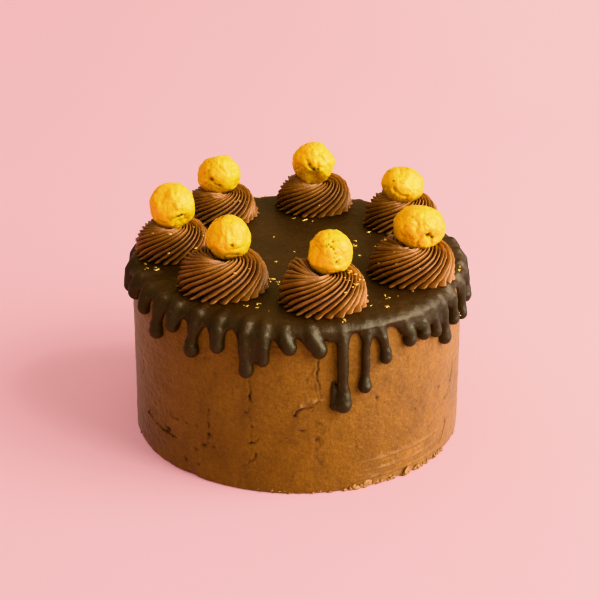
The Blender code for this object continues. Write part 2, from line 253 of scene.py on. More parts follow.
# Raised lines in the same way, with width and height
RAISED = [([(-88.9, 48.3), (-86.7, 50.9), (-82.1, 51.6)], 1, 1.2),
          ([(-83.5, 70), (-84.3, 65), (-83.8, 59), (-83, 52)], 0.4, 0.55),
          ([(-60, 9.5), (-52, 10.2), (-42, 12.6)], 0.6, 0.45),
          ([(-63, 15.5), (-55, 15), (-46, 16.8)], 0.5, 0.35),
          ([(-114.8, 78.5), (-112.8, 77.9), (-110.5, 77)], 0.45, 0.5)]
WALL_PITS = [  # angle, level, radius, depth
    (-105.7, 51, 1.1, 1), (-107.2, 42.6, 0.8, 0.7), (-105.5, 35.4, 0.7, 0.7), (-105.8, 26.3, 0.8, 0.8),
    (-121.3, 39.8, 0.6, 0.5), (-121.4, 31.5, 0.7, 0.6), (-121.1, 26.2, 0.9, 0.9),
    (-123.4, 19.3, 1, 1), (-119.8, 20.2, 0.7, 0.6), (-126.7, 15.9, 0.7, 0.6),
    (-131.5, 8.1, 0.8, 0.7), (-125.6, 8.1, 0.7, 0.6), (-140.2, 19.7, 1.3, 1.3),
    (-62.6, 47.5, 0.8, 0.9), (-32, 38.5, 0.6, 0.7), (-46, 34, 0.6, 0.6),
    (-88.5, 35, 0.9, 0.7), (-82, 38, 0.8, 0.6), (-83.5, 30, 0.9, 0.6), (-90.5, 43, 0.9, 0.8),
    (-113.5, 62, 0.5, 0.5), (-93, 55, 0.5, 0.5), (-122, 67.9, 0.7, 0.5), (-87, 62, 0.6, 0.5),
]
ROUGH_BAND = (-83.2, 12, 42, 2.8)  # angle, lowest and highest level, half width
STRAY_PITS = 220
STRAY_PIT_SEED = 5
GOLDEN_SHARE = 0.618  # spreads the pits' long and tall shapes evenly
BACK_CREASES = 7
SCRAPES = [4, 8, 13]  # levels of the spatula's long lines
SCRAPE_ANGLES = (-72, -30)
SCRAPE_DEPTH = 0.35
FOOT_NOTCH = (-129, 3, 0.9)  # angle, half width in degrees, depth

# Gold flecks on the ganache: x, y, spread, number
FLECK_SPOTS = [
    (-19.5, 74.5, 1.5, 2), (-21, 52.5, 0.5, 1), (-1.8, 45.8, 0.6, 2), (3.2, 43, 0.7, 2),
    (7.8, 41.8, 0.5, 1), (-12, 20.7, 0.5, 1), (-0.7, 2, 0.4, 1), (-10, -10, 0.4, 1),
    (-12, -32, 1.6, 5), (-9.5, -37, 1.2, 3), (-24.5, -62, 1, 3), (-17.5, -59, 0.8, 2),
    (-19.5, -64, 1.2, 3), (-12, -67.5, 0.6, 1), (-75, -12, 0.7, 2), (-73.4, -17.8, 0.8, 2),
    (-69.4, -21.6, 1.3, 4), (37, 28.5, 0.6, 1), (28.5, 9, 0.8, 2), (29.5, 16, 0.5, 1),
    (31, -2.3, 0.5, 1), (33.7, -50, 1.2, 4), (35, -61, 0.6, 1), (43, -62.4, 0.6, 2),
    (43.3, -53.1, 0.5, 1), (20.6, -77, 1, 3), (80, -15.6, 1.2, 3), (79.6, -34, 1, 3),
    (40, -50, 6, 5),
]
# and on the rosettes: number of the rosette, direction, spread, number
ROSETTE_FLECKS = [(2, -20, 22, 16), (7, -100, 25, 5), (7, -20, 20, 3), (6, -30, 30, 6),
                  (3, -140, 40, 8), (1, -90, 60, 4), (5, -90, 60, 2)]
FLECKS_OUT = (0.62, 0.95)  # parts of the rosette's radius
FLECK_SIZE = (0.35, 1)
CRUMBS = 190
CRUMB_SIZE = (0.4, 1.5)
# Stretches of the foot with crumbs: lowest and highest angle, largest size as a share
CRUMB_STRETCHES = [(-105, -72, 0.5), (-20, 200, 0.7), (-72, -28, 0.6)]
CRUMB_CLUSTERS = (-68, -61.5, -56, -50, -44.5, -40, -34, -30)

# Stage and camera
CAMERA_AIM = Vector((1.37, 0, 65.2))
CAMERA_DISTANCE = 1042.0
PICTURE_WIDTH = 600
FOCAL_PIXELS = 2058.0
SENSOR = 36.0
FLOOR_RADIUS = 6.0  # metres
KEY_AZIMUTH = 72.0  # degrees to the right of the camera
KEY_ELEVATION = 29.0
KEY_DISTANCE = 3.6  # metres
KEY_SIZE = 3.5
KEY_POWER = 350.0
KEY_COLOUR = (1, 0.97, 0.93)
WORLD_COLOUR = (1, 0.93, 0.93)
WORLD_BEHIND = (0.98, 0.68, 0.38)  # warmer and dimmer behind the cake
WORLD_STRENGTH = 0.85
WORLD_LEAN = 0.3  # how much brighter the room is on the right than in the middle
# painted light: the floor's colour is darker on the left, away from the key light, and lighter on the right
FLOOR_SHADED_LEFT = (0.47, 0.352, 0.372)
FLOOR_LIT_RIGHT = (0.53, 0.44, 0.45)
FLOOR_TURN = (-0.25, 0.25)  # metres, from the left colour to the right one
FLOOR_GLOW = (0.42, 0.168, 0.174)  # the floor glows, painted light that keeps shadows pale
DISPLAY_GAMMA = 0.85


def random_at(cells, seed):
    """A repeatable value from -1 to 1 for each cell of a whole-number grid."""
    x, y, z = ((cells[:, axis] & 0xFFFFFFFF).astype(np.uint32) for axis in range(3))
    mixed = x * np.uint32(374761393) + y * np.uint32(668265263) + z * np.uint32(2246822519)
    mixed = mixed + np.uint32(seed * 974711 + 12345)
    mixed = (mixed ^ (mixed >> 13)) * np.uint32(1274126177)
    mixed = (mixed ^ (mixed >> 15)) * np.uint32(2654435761)
    mixed = mixed ^ (mixed >> 16)
    return mixed.astype(np.float64) / 2147483647.5 - 1.0


def ripple(points, size, seed):
    """Smooth unevenness from -1 to 1 with bumps of one size, at many points."""
    place = points / size
    cell = np.floor(place).astype(np.int64)
    share = place - cell
    share = share * share * (3.0 - 2.0 * share)
    total = np.zeros(len(points))
    for corner in itertools.product((0, 1), repeat=3):
        weight = np.prod(np.where(corner, share, 1.0 - share), axis=1)
        total += weight * random_at(cell + np.array(corner), seed)
    return total


def ripples(points, layers):
    """Several kinds of unevenness in one, each a height, a size and a seed."""
    return sum(height * ripple(points, size, seed) for height, size, seed in layers)


def clamp(values):
    return np.clip(values, 0.0, 1.0)


def bell(apart, width):
    """1 at a mark's middle, falling off smoothly over its width."""
    return np.exp(-(apart / width) ** 2)


def turn_between(angle, place):
    """Degrees from a place to each angle, from -180 to 180."""
    return (angle - place + 180.0) % 360.0 - 180.0


def polar(radius, degrees, height):
    turn = np.radians(degrees)
    return np.stack(np.broadcast_arrays(radius * np.cos(turn), radius * np.sin(turn), height), axis=-1)


def ring_faces(rows, columns):
    """Quads between rows of points that each run once round the axis."""
    start = np.arange(rows - 1)[:, None] * columns
    here = np.arange(columns)
    after = (here + 1) % columns
    quads = np.stack([start + here, start + after, start + columns + after, start + columns + here], axis=-1)
    return quads.reshape(-1, 4)


def fan(pole, first, columns, upward):
    """Triangles from a pole to a row of points."""
    here = first + np.arange(columns)
    after = first + (np.arange(columns) + 1) % columns
    pair = (here, after) if upward else (after, here)
    return np.stack([np.full(columns, pole), *pair], axis=-1)


def move_points(mesh, points):
    mesh.vertices.foreach_set("co", (points * MM).astype(np.float32).ravel())


def make_mesh(name, points, quads, triangles):
    """A smooth mesh in metres from arrays in millimetres."""
    mesh = bpy.data.meshes.new(name)
    corners = np.concatenate([quads.ravel(), triangles.ravel()]).astype(np.int32)
    starts = np.concatenate([np.arange(len(quads)) * 4,
                             quads.size + np.arange(len(triangles)) * 3]).astype(np.int32)
    mesh.vertices.add(len(points))
    move_points(mesh, points)
    mesh.loops.add(len(corners))
    mesh.loops.foreach_set("vertex_index", corners)
    mesh.polygons.add(len(starts))
    mesh.polygons.foreach_set("loop_start", starts)
    mesh.update(calc_edges=True)
    mesh.shade_smooth()
    return mesh


def paint(mesh, name, values):
    """Keep one number for each point of a mesh, for its material."""
    attribute = mesh.attributes.new(name, "FLOAT", "POINT")
    attribute.data.foreach_set("value", clamp(values).astype(np.float32))


def make_piece(name, mesh, material, nodes):
    mesh.materials.append(material)
    piece = bpy.data.objects.new(name, mesh)
    bpy.context.scene.collection.objects.link(piece)
    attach(piece, "root")
    if nodes:
        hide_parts(*nodes)
    return piece


def mesh_points(mesh):
    points = np.empty(len(mesh.vertices) * 3, np.float32)
    mesh.vertices.foreach_get("co", points)
    return points.reshape(-1, 3).astype(float) / MM


def distance_to_run(angle, level, run):
    """Distance along the unrolled wall from points to a run of straight lines."""
    across = np.radians(angle) * BODY_RADIUS
    nearest = np.full(angle.shape, np.inf)
    for (angle_a, level_a), (angle_b, level_b) in zip(run, run[1:]):
        start = np.array([math.radians(angle_a) * BODY_RADIUS, level_a])
        step = np.array([math.radians(angle_b) * BODY_RADIUS, level_b]) - start
        share = clamp(((across - start[0]) * step[0] + (level - start[1]) * step[1]) / np.hypot(*step) ** 2)
        apart = np.hypot(across - start[0] - share * step[0], level - start[1] - share * step[1])
        nearest = np.minimum(nearest, apart)
    return nearest


def back_creases():
    """A few seams and cracks on the unseen side."""
    draw = random.Random(STRAY_PIT_SEED)
    runs = []
    for _ in range(BACK_CREASES):
        angle = draw.uniform(8.0, 172.0)
        level = draw.uniform(35.0, 60.0)
        run = [(angle, level)]
        for _ in range(3):
            angle += draw.uniform(-2.0, 2.0)
            level -= draw.uniform(5.0, 12.0)
            run.append((angle, level))
        runs.append((run, draw.uniform(0.5, 0.8), draw.uniform(0.25, 0.5)))
    return runs


def stray_pits():
    draw = random.Random(STRAY_PIT_SEED)
    return [(draw.uniform(-180.0, 180.0), draw.uniform(3.0, 80.0), draw.uniform(0.35, 0.75),
             draw.uniform(0.1, 0.4)) for _ in range(STRAY_PITS)]


def cracks(angle, level, broken):
    """Broken cuts with a low burr beside each: height, and the painted shade in the cuts."""
    relief = np.zeros(len(angle))
    painted_shade = np.zeros(len(angle))
    for run, width, depth in CREASES + back_creases():
        apart = distance_to_run(angle, level, run)
        cut = bell(apart, width) * clamp(broken * 2.2 - 0.4)
        burr = bell(apart - 1.8 * width, width) * broken
        relief += 0.35 * depth * burr - depth * cut
        painted_shade += 1.4 * depth * cut
    return relief, painted_shade


def raised_lines(points, angle, level, broken):
    """Raised smears: height, and how pale, a painted highlight along them."""
    patchy = clamp(1.0 + 1.4 * ripple(points, 1.7, 17))
    relief = np.zeros(len(angle))
    for run, width, height in RAISED:
        crest = bell(distance_to_run(angle, level, run), width)
        relief += height * crest * np.clip(broken * 1.6, 0.3, 1.0)
    return relief, 0.55 * relief * patchy


def wall_pits(angle, level):
    """Pits of many long and tall shapes: height, and the painted shade in them."""
    depths = np.zeros(len(angle))
    for index, (place, height, radius, depth) in enumerate(WALL_PITS + stray_pits()):
        across = np.radians(turn_between(angle, place)) * BODY_RADIUS
        up = level - height
        near = np.hypot(across, up) < 4.0 * radius
        stretch = 0.65 + 0.95 * (index * GOLDEN_SHARE % 1.0)
        depths[near] += depth * bell(np.hypot(across[near] / stretch, up[near] * stretch), radius)
    return -depths, 1.2 * depths


def rough_band(points, angle):
    """One torn upright band: height, and the painted shade in its hollows."""
    place, low, high, width = ROUGH_BAND
    level = points[:, 2]
    band = bell(np.radians(angle - place) * BODY_RADIUS, width)
    band = band * clamp((level - low) / 4.0) * clamp((high - level) / 4.0)
    coarse = ripple(points, 2.2, 10)
    return band * (0.3 * coarse + 0.15 * ripple(points, 1.1, 11)), 0.5 * band * clamp(-coarse)


def scrapes(points, angle, broken, reach):
    """The spatula's long lines near the foot: height, and how pale, a painted highlight on the raised lip
    above each line.
    """
    level = points[:, 2] - 0.3 * ripple(points, 4.0, 6)
    relief = np.zeros(len(angle))
    pale = np.zeros(len(angle))
    for height in SCRAPES:
        over = level - height - 0.035 * (angle - SCRAPE_ANGLES[0]) * (height - 8.0) / 8.0
        edge = bell(over - 1.3, 0.6) * reach * broken
        relief += SCRAPE_DEPTH * (edge - bell(over, 0.7) * reach)
        pale += 0.5 * edge
    return relief, pale


def ragged_foot(points, angle, broken, reach):
    """The uneven foot and its notch: height and how pale."""
    level = points[:, 2]
    ragged = bell(level, 2.6) * (0.2 + 0.8 * reach)
    place, width, depth = FOOT_NOTCH
    notch = depth * bell(angle - place, width) * bell(level, 4.0)
    return ragged * ripples(points, [(0.55, 1.9, 7), (0.35, 4.5, 8)]) - notch, 0.5 * ragged * broken * reach


def wall_relief(points, angle):
    """Height of the frosting over the plain wall, the painted shade in its cracks, pits and torn band, and
    how pale its marks are: a painted highlight on raised lines and scrape lips, and paler frosting at the
    foot.
    """
    broken = 0.5 + 0.5 * ripple(points, 3.1, 5)
    reach = clamp((angle - SCRAPE_ANGLES[0]) / 8.0) * clamp((SCRAPE_ANGLES[1] - angle) / 8.0)
    wavy_angle = angle + np.degrees(ripples(points, ANGLE_WAVER) / BODY_RADIUS)
    wavy_level = points[:, 2] + ripples(points, LEVEL_WAVER)
    dark_marks = [cracks(wavy_angle, wavy_level, broken), wall_pits(wavy_angle, wavy_level),
                  rough_band(points, angle)]
    pale_marks = [raised_lines(points, wavy_angle, wavy_level, broken),
                  scrapes(points, angle, broken, reach), ragged_foot(points, angle, broken, reach)]
    relief = ripples(points, WALL_RIPPLES) + sum(height for height, _ in dark_marks + pale_marks)
    return relief, sum(painted_shade for _, painted_shade in dark_marks), sum(pale for _, pale in pale_marks)


def build_body(material):
    front = np.linspace(*FRONT_ANGLES, FRONT_COLUMNS, endpoint=False)
    back = np.linspace(FRONT_ANGLES[1], FRONT_ANGLES[0] + 360.0, BACK_COLUMNS, endpoint=False)
    angles = np.concatenate([front, back])
    profile = [(40.0, 0.0), (70.0, 0.0), (79.0, 0.0), (BODY_RADIUS - FOOT_BEVEL, 0.0)]
    shoulder_level = BODY_HEIGHT - BODY_SHOULDER
    profile += [(BODY_RADIUS, level) for level in np.linspace(FOOT_BEVEL, shoulder_level, WALL_ROWS)]
    for turn in np.radians([22.5, 45.0, 67.5, 90.0]):
        profile.append((BODY_RADIUS - BODY_SHOULDER * (1.0 - math.cos(turn)),
                        shoulder_level + BODY_SHOULDER * math.sin(turn)))
    profile += [(70.0, BODY_HEIGHT), (40.0, BODY_HEIGHT)]
    radius, level = np.array(profile).T
    grid = polar(radius[:, None], angles[None, :], level[:, None])
    points = grid.reshape(-1, 3)
    angle = turn_between(np.tile(angles, len(profile)), 0.0)
    relief, painted_shade, pale = wall_relief(points, angle)
    on_wall = np.repeat(radius, len(angles)) > BODY_RADIUS - 1.0
    relief = np.where(on_wall, relief, 0.0)
    points += polar(relief, angle, 0.0)
    poles = np.array([[0.0, 0.0, 0.0], [0.0, 0.0, BODY_HEIGHT]])
    count = len(points)
    triangles = np.concatenate([fan(count, 0, len(angles), upward=False),
                                fan(count + 1, count - len(angles), len(angles), upward=True)])
    mesh = make_mesh("frosted_body", np.concatenate([points, poles]),
                     ring_faces(len(profile), len(angles)), triangles)
    # painted shade: darker in the cracks, pits and torn band
    paint(mesh, "painted_shading", np.concatenate([painted_shade * on_wall, [0.0, 0.0]]))
    # painted highlight on the raised lines and the scrapes' lips, and paler frosting along the ragged foot
    paint(mesh, "crest", np.concatenate([pale * on_wall, [0.0, 0.0]]))
    return make_piece("frosted_body", mesh, material, ["cake_body"])


def smooth_lower(a, b, soft):
    """The lower of two fields, blended where they are within a soft width."""
    share = clamp(0.5 + 0.5 * (b - a) / soft)
    return b + (a - b) * share - soft * share * (1.0 - share)


def back_drips():
    draw = random.Random(BACK_SEED)
    drips = []
    angle = BACK_START
    while angle < BACK_END:
        drips.append((angle, draw.uniform(*BACK_TIP), draw.uniform(*BACK_BULB),
                      draw.uniform(*BACK_NECK), draw.uniform(*BACK_ROOT), 0.0))
        angle += draw.uniform(*BACK_PITCH)
    return drips


def ridge_share(angle):
    """How far a drip shows as a ridge on the shoulder: all the way at the left,
    hardly at the right and behind."""
    return float(np.interp(angle, (-128.0, -108.0, -75.0, -62.0, -38.0, -24.0, 5.0, 40.0, 140.0, 178.0),
                           (1.0, 0.5, 0.3, 0.05, 0.05, 0.8, 0.8, 0.0, 0.0, 1.0)))


def strung(places):
    """Centre and radius of balls at places given as distance out, angle, level, radius."""
    return [(polar(out, angle, level), size) for out, angle, level, size in places]


def drip_path(index, drip):
    """Balls strung along a drip, from the shoulder to its tip."""
    angle, tip, bulb, neck, root, lean = drip
    draw = random.Random(index)
    start = angle - lean
    ridge = ridge_share(angle)
    stem = 0.52 * neck
    bulb_level = tip + bulb / 2
    inner = 81.0 - 9.0 * ridge + draw.uniform(-1.0, 1.0) * ridge
    broad = 2.7 + ridge * (0.42 * root - 2.7)
    path = [(inner, start, TOP_HEIGHT - ganache_drop(inner) - 2.3 + 0.9 * ridge, 2.2),
            (80.5, start, TOP_HEIGHT - ganache_drop(80.5) - broad - 0.3 + 2.4 * ridge, broad),
            (BODY_RADIUS + 0.2 + 0.3 * ridge, start + 0.2 * lean, 84.6, stem + 0.3 + 0.5 * ridge)]
    neck_top = 80.0
    if bulb_level < neck_top - 4.0:
        steps = max(1, round((neck_top - bulb_level - 4.0) / 5.0))
        for i in range(steps + 1):
            share = i / (steps + 1)
            level = neck_top + (bulb_level + 0.9 * bulb - neck_top) * i / steps
            sway = draw.uniform(-0.25, 0.25)
            path.append((BODY_RADIUS + 0.3 * neck, start + lean * (0.5 + 0.5 * share) + sway, level,
                         stem * draw.uniform(0.95, 1.06)))
        path.append((BODY_RADIUS + 0.26 * bulb, angle, bulb_level + 0.45 * bulb, 0.5 * (stem + bulb / 2)))
    path.append((BODY_RADIUS + 0.26 * bulb, angle, bulb_level + 0.08 * bulb, bulb / 2))
    path.append((BODY_RADIUS + 0.25 * bulb, angle, bulb_level, 0.49 * bulb))
    return strung(path)


def drip_flanks(drip):
    """The two slopes that widen a drip's root where it leaves the rim."""
    angle, _, _, neck, root, lean = drip
    flanks = []
    for side in (-1, 1):
        away = math.degrees(side * 0.45 * root / BODY_RADIUS)
        flanks.append(strung([(BODY_RADIUS + 0.2, angle - lean + away, 85.4, 1.2),
                              (BODY_RADIUS + 0.5, angle - 0.7 * lean + 0.2 * away, 80.5, 0.38 * neck)]))
    return flanks


def side_run_path():
    angle, tip, bulb, neck, top = SIDE_RUN
    return strung([(BODY_RADIUS - 0.2, angle, top, neck * 0.3),
                   (BODY_RADIUS + 0.3, angle, top - 4.0, neck / 2),
                   (BODY_RADIUS + 0.6, angle, tip + bulb, neck * 0.55),
                   (BODY_RADIUS + 0.9, angle, tip + bulb / 2, bulb / 2)])


def web_path():
    angle, low, thick = WEB
    return strung([(BODY_RADIUS + 0.6, angle, 84.0, thick / 2),
                   (BODY_RADIUS + 1.2, angle, low, 0.42 * thick)])


def string_distance(points, path):
    """Signed distance to balls joined by cones."""
    nearest = None
    for (start, size_a), (end, size_b) in zip(path, path[1:]):
        step = end - start
        share = clamp((points - start) @ step / (step @ step))
        apart = np.linalg.norm(points - start - share[..., None] * step, axis=-1)
        apart = apart - (size_a + (size_b - size_a) * share)
        nearest = apart if nearest is None else np.minimum(nearest, apart)
    return nearest


def sheet_level(angle):
    """Level of the lower edge of the ganache between the drips."""
    level = np.full(angle.shape, LIP_EDGE) + 0.8 * np.sin(np.radians(angle) * 9.0)
    for place, low in LOW_SHEETS:
        level = level + (low - LIP_EDGE) * bell(turn_between(angle, place), LOW_SHEET_SPREAD)
    return level


def rim_radius(angle):
    """How far the rim stands out between the drips: full under the broad sheet at the right."""
    return np.interp(angle, (-180.0, -115.0, -90.0, -70.0, -36.0, -24.0, 180.0),
                     (83.7, 83.7, 84.2, LIP_RADIUS, LIP_RADIUS, 83.7, 83.7))


def cap_field(x, y, z):
    """Signed distance, about, to the poured cap and the sheet under its rim."""
    radius = np.hypot(x, y)
    angle = np.degrees(np.arctan2(y, x))
    rim = rim_radius(angle)
    out = np.maximum(radius - FLAT_RADIUS, 0.0) / (rim - FLAT_RADIUS)
    rise = np.maximum(z - LIP_HEIGHT, 0.0) / (TOP_HEIGHT - LIP_HEIGHT)
    size = np.sqrt(out ** 2 + rise ** 2) + 1e-6
    slope = np.sqrt((out / (rim - FLAT_RADIUS)) ** 2 + (rise / (TOP_HEIGHT - LIP_HEIGHT)) ** 2) / size
    shape = (size - 1.0) / np.maximum(slope, 1e-3)
    below = sheet_level(angle) - z
    thin = clamp(-below / 4.0)
    sheet = radius - (rim - 1.0 + 1.0 * np.sqrt(thin))
    shape = np.maximum(shape, np.where(z < LIP_HEIGHT, sheet, shape))
    return -smooth_lower(-shape, -below, 1.2)


def body_field(x, y, z):
    """Signed distance to the inside of the frosting's skin."""
    radius = BODY_RADIUS - SKIN_IN_BODY
    height = BODY_HEIGHT - SKIN_IN_BODY
    out = np.hypot(x, y) - (radius - BODY_SHOULDER)
    rise = z - (height - BODY_SHOULDER)
    corner = np.hypot(np.maximum(out, 0.0), np.maximum(rise, 0.0))
    return corner + np.minimum(np.maximum(out, rise), 0.0) - BODY_SHOULDER


def net_quads(inside, index, cells):
    """Quads between the points round every grid edge that leaves the surface."""
    quads = []
    for axis in range(3):
        low = [slice(1, n) for n in cells]
        low[axis] = slice(0, cells[axis])
        high = list(low)
        high[axis] = slice(1, cells[axis] + 1)
        change = inside[tuple(low)].astype(np.int8) - inside[tuple(high)].astype(np.int8)
        base = np.argwhere(change != 0) + [0 if i == axis else 1 for i in range(3)]
        around = []
        for back in ((1, 1), (0, 1), (0, 0), (1, 0)):
            shift = np.zeros(3, int)
            shift[[(axis + 1) % 3, (axis + 2) % 3]] = back
            around.append(index[tuple((base - shift).T)])
        quad = np.stack(around, axis=-1)
        outward = (change[change != 0] > 0)[:, None]
        quads.append(np.where(outward, quad, quad[:, ::-1]))
    return np.concatenate(quads)


def surface_net(field, origin, step):
    """Points and quads of a field's zero level on a grid; inside is below zero."""
    inside = field < 0.0
    cells = tuple(n - 1 for n in field.shape)
    corners = list(itertools.product((0, 1), repeat=3))
    count = np.zeros(cells, np.int8)
    for corner in corners:
        count += inside[tuple(slice(c, c + n) for c, n in zip(corner, cells))]
    crossed = (count > 0) & (count < 8)
    cell = np.argwhere(crossed)
    index = np.full(cells, -1, np.int64)
    index[crossed] = np.arange(len(cell))
    total = np.zeros((len(cell), 3))
    hits = np.zeros(len(cell))
    for a, b in itertools.combinations(corners, 2):
        if sum(abs(i - j) for i, j in zip(a, b)) != 1:
            continue
        value_a = field[tuple((cell + a).T)]
        value_b = field[tuple((cell + b).T)]
        cut = (value_a < 0.0) != (value_b < 0.0)
        share = np.where(cut, value_a / np.where(cut, value_a - value_b, 1.0), 0.0)
        total += cut[:, None] * (np.array(a) + share[:, None] * (np.array(b) - np.array(a)))
        hits += cut
    return origin + step * (cell + total / hits[:, None]), net_quads(inside, index, cells)


def decimated(mesh, keep):
    """The mesh with fewer faces where it is flat."""
    carrier = bpy.data.objects.new(mesh.name, mesh)
    bpy.context.scene.collection.objects.link(carrier)
    modifier = carrier.modifiers.new("fewer", "DECIMATE")
    modifier.ratio = keep
    result = bpy.data.meshes.new_from_object(carrier.evaluated_get(bpy.context.evaluated_depsgraph_get()))
    bpy.data.objects.remove(carrier)
    return result


def ganache_field():
    """The ganache's signed distance on a grid, and the grid's first corner."""
    reach = LIP_RADIUS + 4.5
    axis = np.arange(-reach, reach + GANACHE_STEP, GANACHE_STEP, dtype=np.float32)
    levels = np.arange(GANACHE_LOW, TOP_HEIGHT + 2.0, GANACHE_STEP, dtype=np.float32)
    x, y, z = np.meshgrid(axis, axis, levels, indexing="ij")
    field = cap_field(x, y, z).astype(np.float32)
    drips = FRONT_DRIPS + back_drips()
    paths = [drip_path(index, drip) for index, drip in enumerate(drips)]
    paths += [flank for drip in drips for flank in drip_flanks(drip)]
    paths += [side_run_path(), web_path()]
    origin = np.array([axis[0], axis[0], levels[0]], float)
    for path in paths:
        centres = np.array([centre for centre, _ in path])
        margin = max(size for _, size in path) + FILLET + GANACHE_STEP
        low = np.floor((centres.min(axis=0) - margin - origin) / GANACHE_STEP).astype(int)
        high = np.ceil((centres.max(axis=0) + margin - origin) / GANACHE_STEP).astype(int) + 1
        low = np.maximum(low, 0)
        box = tuple(slice(a, b) for a, b in zip(low, high))
        points = np.stack([x[box], y[box], z[box]], axis=-1)
        field[box] = smooth_lower(field[box], string_distance(points, path), FILLET)
    return np.maximum(field, -body_field(x, y, z)), origin


def build_ganache(material):
    points, quads = surface_net(*ganache_field(), GANACHE_STEP)
    mesh = make_mesh("poured_ganache", points, quads, NO_TRIANGLES)
    normals = np.empty(len(points) * 3, np.float32)
    mesh.vertex_normals.foreach_get("vector", normals)
    normals = normals.reshape(-1, 3)
    wave = 0.16 * ripple(points, 9.0, 21) + 0.09 * ripple(points, 3.5, 22)
    rim = clamp((from_axis(points) - 70.0) / 10.0)
    outside = (from_axis(points) > BODY_RADIUS) | (points[:, 2] > BODY_HEIGHT + 1.0)
    wave = wave * (0.3 + 1.2 * rim) * outside
    move_points(mesh, points + normals * wave[:, None])
    mesh = decimated(mesh, GANACHE_KEEP)
    mesh.name = "poured_ganache"
    mesh.shade_smooth()
    return make_piece("poured_ganache", mesh, material, ["ganache"])


def ganache_drop(radius):
    """How far the ganache has turned down at a distance from the axis."""
    share = clamp((radius - FLAT_RADIUS) / (LIP_RADIUS - FLAT_RADIUS))
    return (TOP_HEIGHT - LIP_HEIGHT) * (1.0 - np.sqrt(1.0 - share ** 2))


def from_axis(points):
    return np.hypot(points[:, 0], points[:, 1])


def unit(vectors):
    return vectors / np.linalg.norm(vectors, axis=-1, keepdims=True)


def ball_centre(ball):
    return np.array([ball[0], ball[1], TOP_HEIGHT + ball[2]])


def ball_skin(number, ball, directions):
    """Points of a ball's uneven skin from its centre, as in the solid."""
    half = np.array(ball[3:6]) / 2
    points = directions * half
    shift = Vector((BALL_LUMP_STEP * number, 0.0, 0.0))
    lump = np.array([noise.noise(Vector(point) / BALL_LUMP_SIZE + shift) for point in points])
    press = np.zeros(len(points))
    for axis, depth, spread in ball[6]:
        apart = np.arccos(np.clip(directions @ unit(np.array(axis)), -1.0, 1.0))
        press += depth * bell(apart, math.radians(spread))
    return points + directions * (BALL_LUMP * lump - press)[:, None]


def facing(across, up):
    """Direction of a place on a ball as the camera sees it."""
    ahead = math.sqrt(max(0.0, 1.0 - across ** 2 - up ** 2))
    tilt = math.radians(CAMERA_ELEVATION)
    return np.array([across, up * math.sin(tilt) - ahead * math.cos(tilt),
                     up * math.cos(tilt) + ahead * math.sin(tilt)])


def ball_pits(number):
    """The pits that show, and a few seeded ones on the far side."""
    draw = random.Random(100 + number)
    pits = [(facing(across, up), depth, radius) for across, up, depth, radius in PITS[number]]
    for _ in range(FAR_PITS):
        direction = Vector((draw.gauss(0, 1), abs(draw.gauss(0, 1)), draw.gauss(0, 1))).normalized()
        pits.append((np.array(direction), draw.uniform(0.2, 0.6), draw.uniform(0.4, 0.9)))
    return pits


def facets(number, directions):
    """How deep the flat patches cut into a ball, as a part of its radius."""
    draw = random.Random(400 + number)
    total = np.ones(len(directions))
    for _ in range(FACETS):
        normal = np.array(Vector([draw.gauss(0, 1) for _ in range(3)]).normalized())
        height = draw.uniform(*FACET_HEIGHT)
        total += np.exp((1.0 - height / np.maximum(directions @ normal, 0.5)) / FACET_SOFTNESS)
    return FACET_SOFTNESS * np.log(total)


def distance_to_cleft(skin, run):
    """Distance from points of a ball's skin to a run of places on it."""
    places = [facing(across, up) * BALL_RADIUS for across, up in run]
    nearest = np.full(len(skin), np.inf)
    for start, end in zip(places, places[1:]):
        step = end - start
        share = clamp((skin - start) @ step / (step @ step))
        middle = unit(start + share[:, None] * step) * BALL_RADIUS
        nearest = np.minimum(nearest, np.linalg.norm(skin - middle, axis=1))
    return nearest


def ball_relief(number, skin, directions):
    """How deep the folds, clefts and pits press a ball's skin in, and the painted shade in them."""
    seed = 40 + 10 * number
    wrinkle = 0.6 - np.abs(ripple(skin, 3.2, seed + 2))
    fine = 0.5 - np.abs(ripple(skin, 1.5, seed + 4))
    press = FACET_DEPTH * facets(number, directions) + 0.55 * (0.5 + 0.5 * ripple(skin, 5.0, seed + 3))
    press += 0.56 * wrinkle + 0.2 * fine + 0.08 * (1.0 + ripple(skin, 0.8, seed + 6))
    # painted shade: darker in the deeper folds
    painted_shade = 0.34 * clamp((wrinkle - 0.43) * 5.0) * clamp(0.6 + ripple(skin, 6.0, seed + 7))
    for run, depth, width in CLEFTS[number]:
        cut = depth * bell(distance_to_cleft(skin, run) + 0.35 * ripple(skin, 2.0, seed + 1), width)
        press += cut
        painted_shade += 0.22 * cut
    for axis, depth, radius in ball_pits(number):
        apart = np.linalg.norm(skin - axis * BALL_RADIUS, axis=1) + 0.25 * ripple(skin, 0.9, seed + 5)
        cut = bell(apart, PIT_SPREAD * radius)
        press += depth * cut
        painted_shade += 1.1 * cut
    if number in KNOBS:
        across, up, radius, lift = KNOBS[number]
        apart = np.linalg.norm(skin - facing(across, up) * BALL_RADIUS, axis=1) / radius
        press -= lift * clamp(1.0 - apart ** 2) ** 0.5 - 0.5 * bell(apart - 1.1, 0.22)
    return press, painted_shade


